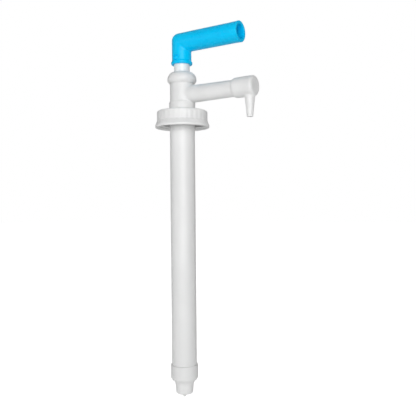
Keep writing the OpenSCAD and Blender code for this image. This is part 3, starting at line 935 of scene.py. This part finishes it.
# %% Make the strainer
PLUG_R, HOLES, HOLE_R, HOLE_RING_R = INLET_R - PUSH_FIT, 8, 1.6, 6.0
FIN_PLATES, FIN_T = 4, 1.0
tip, plug_top, fin_top = strainer_low[2], inlet_floor + 3, strainer_high[2]
plug = mesh_object("strainer_plug", *turned(soften([
    (0, tip), (0.6, tip, 0.5), (5.2, inlet_floor, 0.6), (PLUG_R, inlet_floor, 0.4),
    (PLUG_R, plug_top, 0.4), (2.2, plug_top, 0.6), (1.6, fin_top, 0.4), (0, fin_top)]), 96))
holes = []
for k in range(HOLES):
    hole = mesh_object("hole", *turned([
        (0, tip - 1), (HOLE_R, tip - 1), (HOLE_R, plug_top + 2), (0, plug_top + 2)], 32))
    spot = Matrix.Translation((HOLE_RING_R * MM, 0, 0))
    hole.data.transform(Matrix.Rotation(k * 2 * math.pi / HOLES, 4, "Z") @ spot)
    holes.append(hole)
cut_away(plug, holes)
fins = mesh_object("fins", [(0, 0, 0)], [])
run_tree(fins, star, Plates=FIN_PLATES, Width=(2 * PLUG_R - 0.4) * MM, Thickness=FIN_T * MM,
         Low=(inlet_floor + 1.5) * MM, High=fin_top * MM, Start_Turn=math.pi / 8,
         Finish=moulded_white)
weld = plug.modifiers.new("weld", "BOOLEAN")
weld.operation, weld.solver, weld.object, weld.use_self = "UNION", "EXACT", fins, True
soft_edge = plug.modifiers.new("soft_edge", "BEVEL")
soft_edge.width, soft_edge.segments, soft_edge.limit_method = 0.15 * MM, 2, "ANGLE"
bake_modifiers(plug)
bpy.data.objects.remove(fins)
finished(plug, "pump", moulded_white, ["foot_strainer"])


# %% [markdown]
# ## Rod
# The rod is a hollow extrusion from the piston up into the handle's socket, with one small hole
# for the handle's pin.

# %% Turn the rod and drill it
ROD_R, ROD_BORE_R, PIN_Z, SHANK_R = 10.0, 8.0, handle_low[2] + 7.5, 1.5


def along_pin(outline, segments):
    """Turn an outline about the pin's axis, which points to -Y."""
    verts, faces = turned(outline, segments)
    return verts[:, [0, 2, 1]] * [1, -1, 1] + [0, 0, PIN_Z], faces


rod = mesh_object("lift_rod", *turned(soften(
    band(ROD_BORE_R, ROD_R, rod_low[2], rod_high[2], 0.3), longest=12), 144))
drill = mesh_object("drill", *along_pin(
    [(0, 5), (SHANK_R + PUSH_FIT, 5), (SHANK_R + PUSH_FIT, 14), (0, 14)], 32))
cut_away(rod, [drill])
finished(rod, "rod", sliding_rod, ["rod"])


# %% [markdown]
# ## Handle
# The handle is the one part with a bent shape: a socket that stands on the rod, a tight outer
# corner, and a grip that is open at its end. It is skinned with rings that walk from the roof of
# the socket, down its wall, round the bead at its mouth, up the outside, round the bend, along the
# grip, and back in through the open end. Each point of a ring keeps its own offset from the
# middle, and turns the corner on an arc that suits that offset: wide on the outside, tight on the
# inside. Two columns of points stand a hair proud where the halves of the mould met, with others
# close beside them, so that the line stays narrow.

# %% Walk the rings of the handle
GRIP_R, GRIP_BORE_R, LIP_OUT, LIP_LEN, EDGE = 12.5, 9.0, 0.3, 8.0, 0.8
BEND_R, INNER_BEND_R, BEND_BLEND, WELL_FLOOR, WELL_EDGE = 10.0, 1.6, 2.0, 4.0, 1.2
SOCKET_R, BEAD_R, BEAD_H, COLUMNS, PARTING = ROD_R + PUSH_FIT, 13.65, 4.2, 112, 0.07
mouth, grip_z, grip_end = handle_low[2], handle_high[2] - GRIP_R - LIP_OUT, handle_high[0]
socket_roof, above_bead = rod_high[2], mouth + 9

even = np.arange(COLUMNS) * 360 / COLUMNS
close = np.array([-2.4, -1.2, 1.2, 2.4])
angle = np.radians(np.sort(np.concatenate([even, close % 360, close + 180])))
proud = PARTING * (np.abs(np.sin(angle)) < 0.004)


def socket_ring(r, z):
    """A level ring of the socket."""
    return np.stack([-r * np.cos(angle), -r * np.sin(angle), np.full(len(angle), z)], 1)


def grip_ring(r, x, line=0.0):
    """An upright ring of the grip, at one x or at an x for each point."""
    r = r + line * (proud + LIP_OUT * np.clip(1 - (grip_end - x) / LIP_LEN, 0, 1))
    return np.stack([x + 0 * angle, -r * np.sin(angle), grip_z + r * np.cos(angle)], 1)


# each column's radius, its offset towards the outer corner, and the arc on which it turns
outer = GRIP_R + proud
offset = outer * np.cos(angle)
tight = offset - (GRIP_R - BEND_R)
bend = 0.5 * (tight + INNER_BEND_R + np.sqrt((tight - INNER_BEND_R) ** 2 + BEND_BLEND ** 2))
bend_start = grip_z + offset - bend
bend_x = bend - offset

profile = soften([
    (0, socket_roof), (SOCKET_R, socket_roof, 0.6), (SOCKET_R, mouth, 0.7), (BEAD_R, mouth, 2.0),
    (BEAD_R, mouth + BEAD_H - 1.2, 1.3), (GRIP_R + 0.35, mouth + BEAD_H, 0.6),
    (GRIP_R, mouth + BEAD_H + 1, 0.8), (GRIP_R, above_bead), (0, above_bead)], steps=6)
rings = [np.array([[0, 0, socket_roof]])] + [socket_ring(r, z) for r, z in profile[1:-1]]
for f in np.linspace(0, 1, 12)[1:]:
    z = above_bead + (bend_start - above_bead) * (1 - (1 - f) ** 1.4)
    rings.append(np.stack([-offset, -outer * np.sin(angle), z], 1))
for phi in np.radians(np.linspace(0, 90, 19)[1:]):
    x, z = bend_x - bend * np.cos(phi), bend_start + bend * np.sin(phi)
    rings.append(np.stack([x, -outer * np.sin(angle), z], 1))
for f in np.linspace(0, 1, 22)[1:]:
    rings.append(grip_ring(GRIP_R, bend_x + (grip_end - EDGE - bend_x) * f ** 1.3, 1.0))
for a in np.radians(np.linspace(15, 90, 6)):
    r, x = GRIP_R - EDGE * (1 - math.cos(a)), grip_end - EDGE * (1 - math.sin(a))
    rings.append(grip_ring(r, x, 1.0))
for a in np.radians(np.linspace(0, 90, 6)):
    r, x = GRIP_BORE_R + EDGE * (1 - math.sin(a)), grip_end - EDGE * (1 - math.cos(a))
    rings.append(grip_ring(r, x))
for x in np.linspace(grip_end - 2, WELL_FLOOR + WELL_EDGE, 14):
    rings.append(grip_ring(GRIP_BORE_R, x))
for a in np.radians(np.linspace(15, 90, 6)):
    r, x = GRIP_BORE_R - WELL_EDGE * (1 - math.cos(a)), WELL_FLOOR + WELL_EDGE * (1 - math.sin(a))
    rings.append(grip_ring(r, x))
rings.append(grip_ring(4.0, WELL_FLOOR))
rings.append(np.array([[WELL_FLOOR, 0, grip_z]]))
handle = mesh_object("handle_shell", *skin(rings, closed=False))
print("handle skinned over", len(rings), "rings")

# %% Sink the pin's recess into the handle
PIN_SEAT, HEAD_R, HEAD_T, PIN_LEN = ROD_R + 1.2, 2.8, 1.0, 3.4
RECESS_R, RECESS_RIM_R = HEAD_R + 0.5, HEAD_R + 0.8
recess = mesh_object("recess", *along_pin(soften([
    (0, 9), (SHANK_R + PUSH_FIT, 9), (SHANK_R + PUSH_FIT, PIN_SEAT), (RECESS_R, PIN_SEAT, 0.2),
    (RECESS_R, PIN_SEAT + 0.7), (RECESS_RIM_R, PIN_SEAT + 1.4), (RECESS_RIM_R, 15), (0, 15)],
    steps=3), 48))
cut_away(handle, [recess])
finished(handle, "rod", handle_blue, ["handle"])


# %% [markdown]
# ## Handle pin
# A short pin with a domed head holds the handle on the rod. It is moulded in the handle's blue.

# %% Turn the pin
dome = [(HEAD_R * math.cos(a), PIN_SEAT + 0.2 + (HEAD_T - 0.2) * math.sin(a))
        for a in np.radians(np.linspace(0, 90, 13)[:-1])]
pin = mesh_object("handle_pin_domed", *along_pin(soften(
    [(0, PIN_SEAT - PIN_LEN), (SHANK_R, PIN_SEAT - PIN_LEN, 0.4), (SHANK_R, PIN_SEAT, 0.1),
     (HEAD_R, PIN_SEAT, 0.1)] + dome + [(0, PIN_SEAT + HEAD_T)]), 64))
finished(pin, "rod", handle_blue, ["handle_pin"])


# %% [markdown]
# ## Parts inside
# These are seen only if the pump is opened: the bush and seal of the gland, the piston and the two
# balls. The turned ones are made again with rounded edges. The two slotted cages keep their CAD
# shape, which is right already, and only get a better finish.

# %% Turn the inner parts
SLIP_R, GLAND_FIT_R, WASHER_BORE_R = ROD_R + 0.05, GLAND_R - 0.05, 10.4
PISTON_STEM_R, PISTON_FIT_R, PISTON_BORE_R, BALL_SEAT_R = 9.0, 9.05, 4.0, 7.0
FOOT_GASKET_BORE_R = 9.8


def inner_ring(name, node, shape, finish, body="pump", rounding=0.25, steps=4):
    """A turned inner part; shape gives its corners from its bottom, top and outer radius."""
    low, high = box_mm(node)
    corners = [(r, z, rounding) for r, z in shape(low[2], high[2], high[0])]
    made = mesh_object(name, *turned(soften(corners, steps), 96))
    finished(made, body, finish, [node])


def plain(bore, outer=None):
    """The shape of a plain ring, as wide as its box unless a radius is given."""
    return lambda low, high, reach: [
        (bore, low), (outer or reach, low), (outer or reach, high), (bore, high)]


inner_ring("rod_guide_bush", "guide_bush", lambda low, high, reach: [
    (SLIP_R, low), (GLAND_FIT_R, low), (GLAND_FIT_R, high - 1.2), (reach, high - 1.2),
    (reach, high), (SLIP_R, high)], inner_plastic, "rod_guide")
inner_ring("rod_seal_ring", "rod_seal", plain(SLIP_R, GLAND_FIT_R), black_rubber,
           rounding=1.0, steps=6)
inner_ring("gland_washer_ring", "gland_washer", plain(WASHER_BORE_R, GLAND_FIT_R),
           inner_plastic)
inner_ring("foot_gasket_ring", "foot_gasket", plain(FOOT_GASKET_BORE_R, TUBE_R),
           black_rubber)
inner_ring("piston_seat_hub", "piston_seat", lambda low, high, reach: [
    (PISTON_BORE_R, low), (reach, low), (reach, low + 3), (PISTON_STEM_R, low + 3),
    (PISTON_STEM_R, high), (BALL_SEAT_R, high), (PISTON_BORE_R, high - 3)],
    inner_plastic, "rod")
inner_ring("piston_glide_ring", "piston_guide_ring", plain(PISTON_FIT_R),
           inner_plastic, "rod")
inner_ring("piston_lip_cup", "piston_cup", lambda low, high, reach: [
    (PISTON_FIT_R, low), (reach - 0.8, low), (reach, low + 4), (reach, high),
    (reach - 0.7, high), (reach - 1.6, low + 2.4), (PISTON_FIT_R, low + 2.4)],
    black_rubber, "rod")

# %% Roll the two balls, and finish the cages
for name, node in (("delivery_ball", "piston_ball"), ("suction_ball", "foot_ball")):
    low, high = box_mm(node)
    r, centre = (high[2] - low[2]) / 2, (high[2] + low[2]) / 2
    half_circle = [(r * math.cos(a), centre + r * math.sin(a))
                   for a in np.radians(np.linspace(-90, 90, 33))]
    half_circle[0], half_circle[-1] = (0, low[2]), (0, high[2])
    ball = mesh_object(name, *turned(half_circle, 64))
    # each ball moves on a body of its own, which has its name
    finished(ball, node, polished_steel, [node])
for node in ("piston_cage", "foot_ball_cage"):
    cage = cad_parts[node]
    for entry in cage.material_slots:
        entry.material = inner_plastic
    print(node, "keeps its CAD shape")
